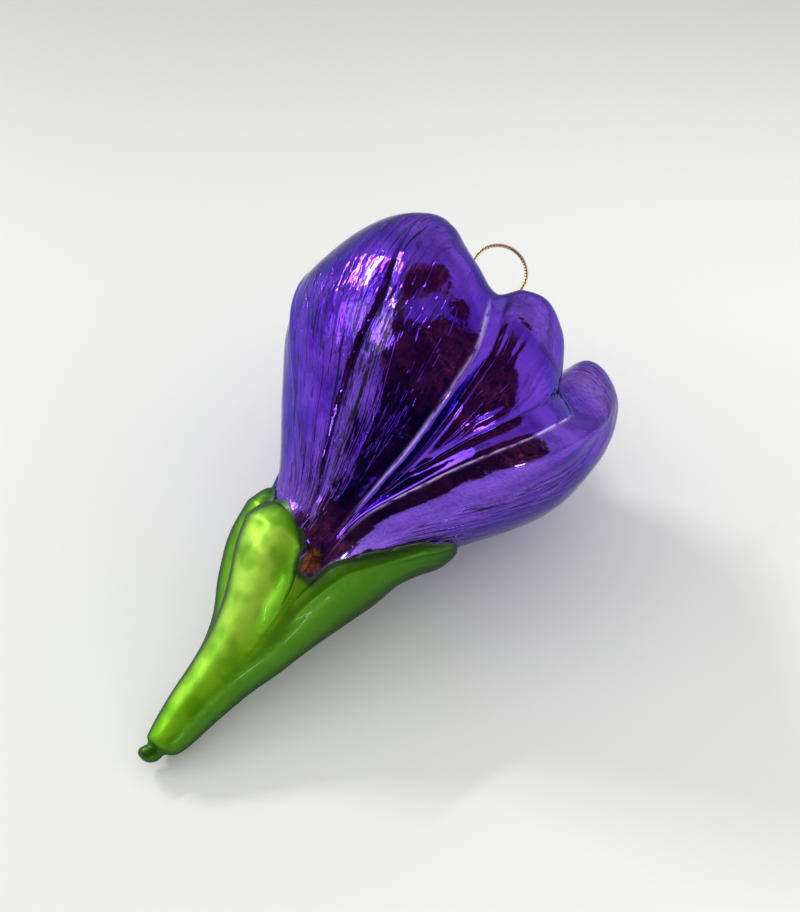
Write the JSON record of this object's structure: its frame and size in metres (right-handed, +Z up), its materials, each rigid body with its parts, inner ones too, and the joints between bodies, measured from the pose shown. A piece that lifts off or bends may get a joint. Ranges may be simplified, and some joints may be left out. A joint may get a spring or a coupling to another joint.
{
  "type": "blown-glass crocus ornament",
  "caption": "Hanging glass ornament shaped like an open violet crocus on a green stem with sepals, with a crimped gold cap and a wire loop in the mouth of the bloom.",
  "frame": {"origin": "on the table, under the middle of the box round the ornament as it lies on its side", "axes": "+X from the stem end towards the bloom and the loop, +Z up, +Y to the left of someone looking along +X"},
  "size_m": [0.113, 0.065, 0.0613],
  "materials": {
    "lacquered_glass": "silvered blown glass under transparent violet lacquer on the bloom and satin yellow-green lacquer on the stem and sepals; opaque, mirror bright",
    "cap_brass": "thin stamped sheet, bright gold",
    "wire_brass": "fine knurled gold spring wire"
  },
  "bodies": {
    "root": {"glass_flower": "lacquered_glass", "hanger_cap": "cap_brass", "hanger_wire": "wire_brass"}
  },
  "joints": []
}
